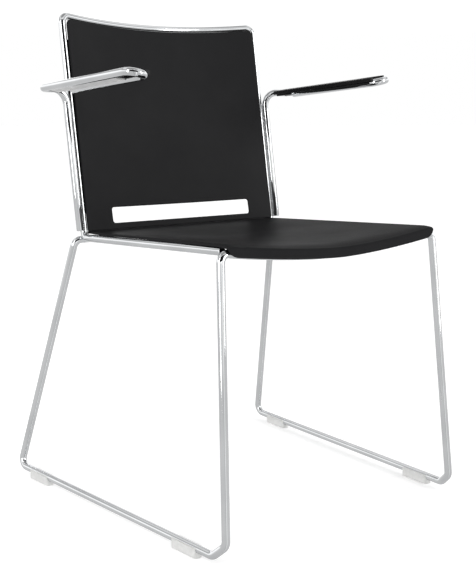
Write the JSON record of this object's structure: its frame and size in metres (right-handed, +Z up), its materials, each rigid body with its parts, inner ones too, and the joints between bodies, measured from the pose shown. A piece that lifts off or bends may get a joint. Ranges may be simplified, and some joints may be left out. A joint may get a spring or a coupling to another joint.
{
  "type": "stacking armchair",
  "caption": "Sled-base stacking armchair: a bent chrome rod frame with a black moulded seat, a slotted back, padded arms and clear floor glides.",
  "frame": {"origin": "the floor, under the middle of the footprint", "axes": "+Z up, the front of the chair faces -Y, +X to the right seen from the front"},
  "size_m": [0.583, 0.5822, 0.8337],
  "materials": {
    "chrome_rod": "bright chrome plate on bent steel rod",
    "chrome_tab": "chrome plate on flat steel, welded to the rod",
    "painted_plate": "light grey satin paint on flat steel",
    "seat_plastic": "black moulded plastic with a fine grain",
    "back_plastic": "black moulded plastic with a fine grain",
    "pad_plastic": "black moulded plastic, satin",
    "clear_glide": "milky translucent plastic",
    "zinc_screw": "zinc-plated steel"
  },
  "bodies": {
    "root": {"seat_back_rod": "chrome_rod", "left_sled_rod": "chrome_rod", "right_sled_rod": "chrome_rod", "left_arm_rod": "chrome_rod", "right_arm_rod": "chrome_rod", "left_arm_plate": "painted_plate", "right_arm_plate": "painted_plate", "left_arm_pad": "pad_plastic", "right_arm_pad": "pad_plastic", "seat_shell": "seat_plastic", "back_shell": "back_plastic", "front_glide_left": "clear_glide", "front_glide_right": "clear_glide", "rear_glide_left": "clear_glide", "rear_glide_right": "clear_glide", "seat_tab_front_left": "chrome_tab", "seat_tab_front_right": "chrome_tab", "seat_tab_rear_left": "chrome_tab", "seat_tab_rear_right": "chrome_tab", "seat_screw_front_left": "zinc_screw", "seat_screw_front_right": "zinc_screw", "seat_screw_rear_left": "zinc_screw", "seat_screw_rear_right": "zinc_screw"}
  },
  "joints": []
}
